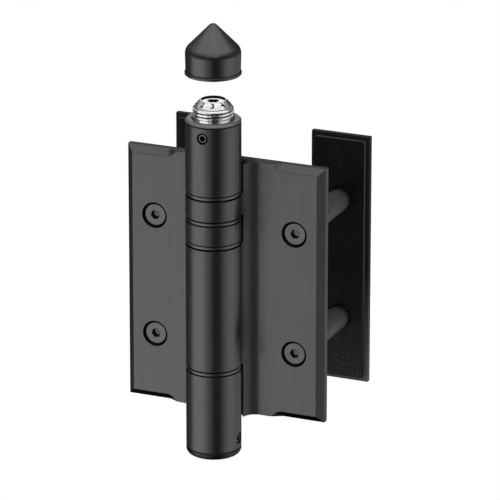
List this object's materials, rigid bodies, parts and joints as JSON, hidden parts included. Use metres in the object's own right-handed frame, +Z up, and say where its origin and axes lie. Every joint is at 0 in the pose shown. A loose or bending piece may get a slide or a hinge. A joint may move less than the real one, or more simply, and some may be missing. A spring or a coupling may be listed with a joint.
{
  "type": "self-closing gate hinge",
  "caption": "Two-leaf gate hinge that closes by a spring and cam in its barrel, slowed by an oil damper, each leaf clamped to a padded back plate.",
  "frame": {"origin": "centre of the post leaf's two screws, on the face that lies against the post", "axes": "+X along the leaves towards the gate, +Y out of the mounting face into the post, +Z up the barrel"},
  "size_m": [0.1016, 0.0871, 0.2134],
  "materials": {
    "leaf": "dark grey, brushed upright",
    "barrel_finish": "satin black",
    "washer": "blackened steel",
    "dial": "polished chrome, black numbers",
    "lock_screw": "blackened steel",
    "screw": "blackened steel",
    "sleeve": "satin black",
    "back_plate": "satin black",
    "pad": "matt, fine speckle",
    "cylinder": "honed",
    "inner_steel": "ground",
    "spring": "oiled spring steel",
    "bush": "turned",
    "seal": "matt"
  },
  "bodies": {
    "post_side": {"post_leaf": "leaf", "top_collar": "barrel_finish", "bottom_plug": "barrel_finish", "damper_cylinder": "cylinder", "rod_gland": "bush", "rod_seal": "seal", "spindle": "inner_steel", "thrust_washer_1": "washer", "thrust_washer_2": "washer", "thrust_washer_3": "washer", "thrust_washer_4": "washer", "damper_lock_screw": "lock_screw", "spindle_lock_screw": "lock_screw", "post_screws": "screw", "post_sleeves": "sleeve", "post_clamp_posts": "sleeve", "post_back_plate": "back_plate", "post_pad": "pad"},
    "gate_side": {"gate_leaf": "leaf", "upper_bush": "bush", "middle_bush": "bush", "lower_bush": "bush", "closing_spring": "spring", "gate_screws": "screw", "gate_sleeves": "sleeve", "gate_clamp_posts": "sleeve", "gate_back_plate": "back_plate", "gate_pad": "pad"},
    "cap": {"cap": "barrel_finish"},
    "dial": {"speed_dial": "dial", "dial_seal": "seal", "needle_valve": "inner_steel"},
    "follower": {"follower": "inner_steel", "drive_pins": "inner_steel", "piston_rod": "inner_steel", "piston": "inner_steel", "piston_seal": "seal"}
  },
  "joints": [
    {"name": "swing", "type": "hinge", "parent": "post_side", "child": "gate_side", "pos_m": [0.036, -0.0182, 0], "axis": [0, 0, -1], "range_deg": [0, 180], "stiffness_Nm_per_rad": 1.2, "springref_deg": -91.67},
    {"name": "follower_slide", "type": "slide", "parent": "gate_side", "child": "follower", "axis": [0, 0, 1], "range_m": [0, 0.01], "deforming": ["closing_spring"]},
    {"name": "dial_turn", "type": "hinge", "parent": "post_side", "child": "dial", "pos_m": [0.036, -0.0182, 0.0959], "axis": [0, 0, -1], "range_deg": [-80, 240]},
    {"name": "cap_lift", "type": "slide", "parent": "post_side", "child": "cap", "axis": [0, 0, 1], "range_m": [-0.0212, 0.01]}
  ],
  "couplings": [
    {"joint": "follower_slide", "follows": "swing", "m_per_rad": 0.003183}
  ]
}
